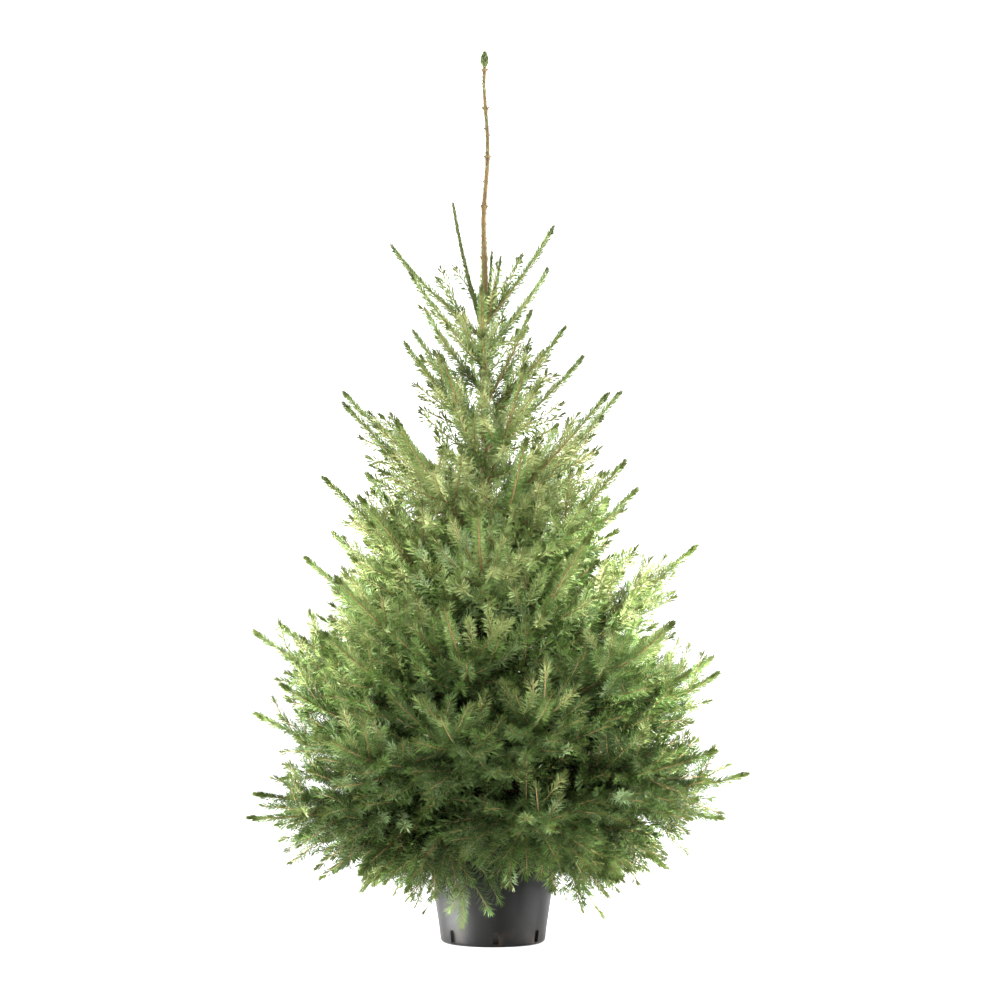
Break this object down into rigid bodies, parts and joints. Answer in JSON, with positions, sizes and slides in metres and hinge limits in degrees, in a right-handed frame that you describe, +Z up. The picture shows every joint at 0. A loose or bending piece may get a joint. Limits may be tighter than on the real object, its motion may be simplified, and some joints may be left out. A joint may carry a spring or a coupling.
{
  "type": "potted spruce tree",
  "caption": "Young narrow-tipped spruce with tiers of needle-clad branches round a slim trunk, standing in a round tapered nursery pot filled with soil.",
  "frame": {"origin": "middle of the pot's flat underside, on the floor", "axes": "+Z up along the trunk, -Y towards the viewer of the picture, +X to the right in it"},
  "size_m": [0.8087, 0.855, 1.5],
  "materials": {
    "pot": "dark grey moulded plastic with a soft sheen",
    "soil": "crumbly dark compost",
    "bark": "rough grey-brown bark",
    "needles": "green needles, paler below"
  },
  "bodies": {
    "root": {"pot": "pot", "soil": "soil", "trunk": "bark", "leader_tuft": "needles", "bough_01": "bark", "bough_02": "bark", "bough_03": "bark", "bough_04": "bark", "bough_05": "bark", "bough_06": "bark", "bough_07": "bark", "bough_08": "bark", "bough_09": "bark", "bough_10": "bark", "bough_11": "bark", "bough_12": "bark", "bough_13": "bark", "bough_14": "bark", "bough_15": "bark", "bough_16": "bark", "bough_17": "bark", "bough_18": "bark", "bough_19": "bark", "bough_20": "bark", "foliage_01": "needles", "foliage_02": "needles", "foliage_03": "needles", "foliage_04": "needles", "foliage_05": "needles", "foliage_06": "needles", "foliage_07": "needles", "foliage_08": "needles", "foliage_09": "needles", "foliage_10": "needles", "foliage_11": "needles", "foliage_12": "needles", "foliage_13": "needles", "foliage_14": "needles", "foliage_15": "needles", "foliage_16": "needles", "foliage_17": "needles", "foliage_18": "needles", "foliage_19": "needles", "foliage_20": "needles", "foliage_21": "needles", "foliage_22": "needles", "foliage_23": "needles", "foliage_24": "needles", "foliage_25": "needles", "foliage_26": "needles", "foliage_27": "needles", "foliage_28": "needles", "foliage_29": "needles", "foliage_30": "needles", "foliage_31": "needles", "foliage_32": "needles", "foliage_33": "needles", "foliage_34": "needles", "foliage_35": "needles", "foliage_36": "needles"}
  },
  "joints": []
}
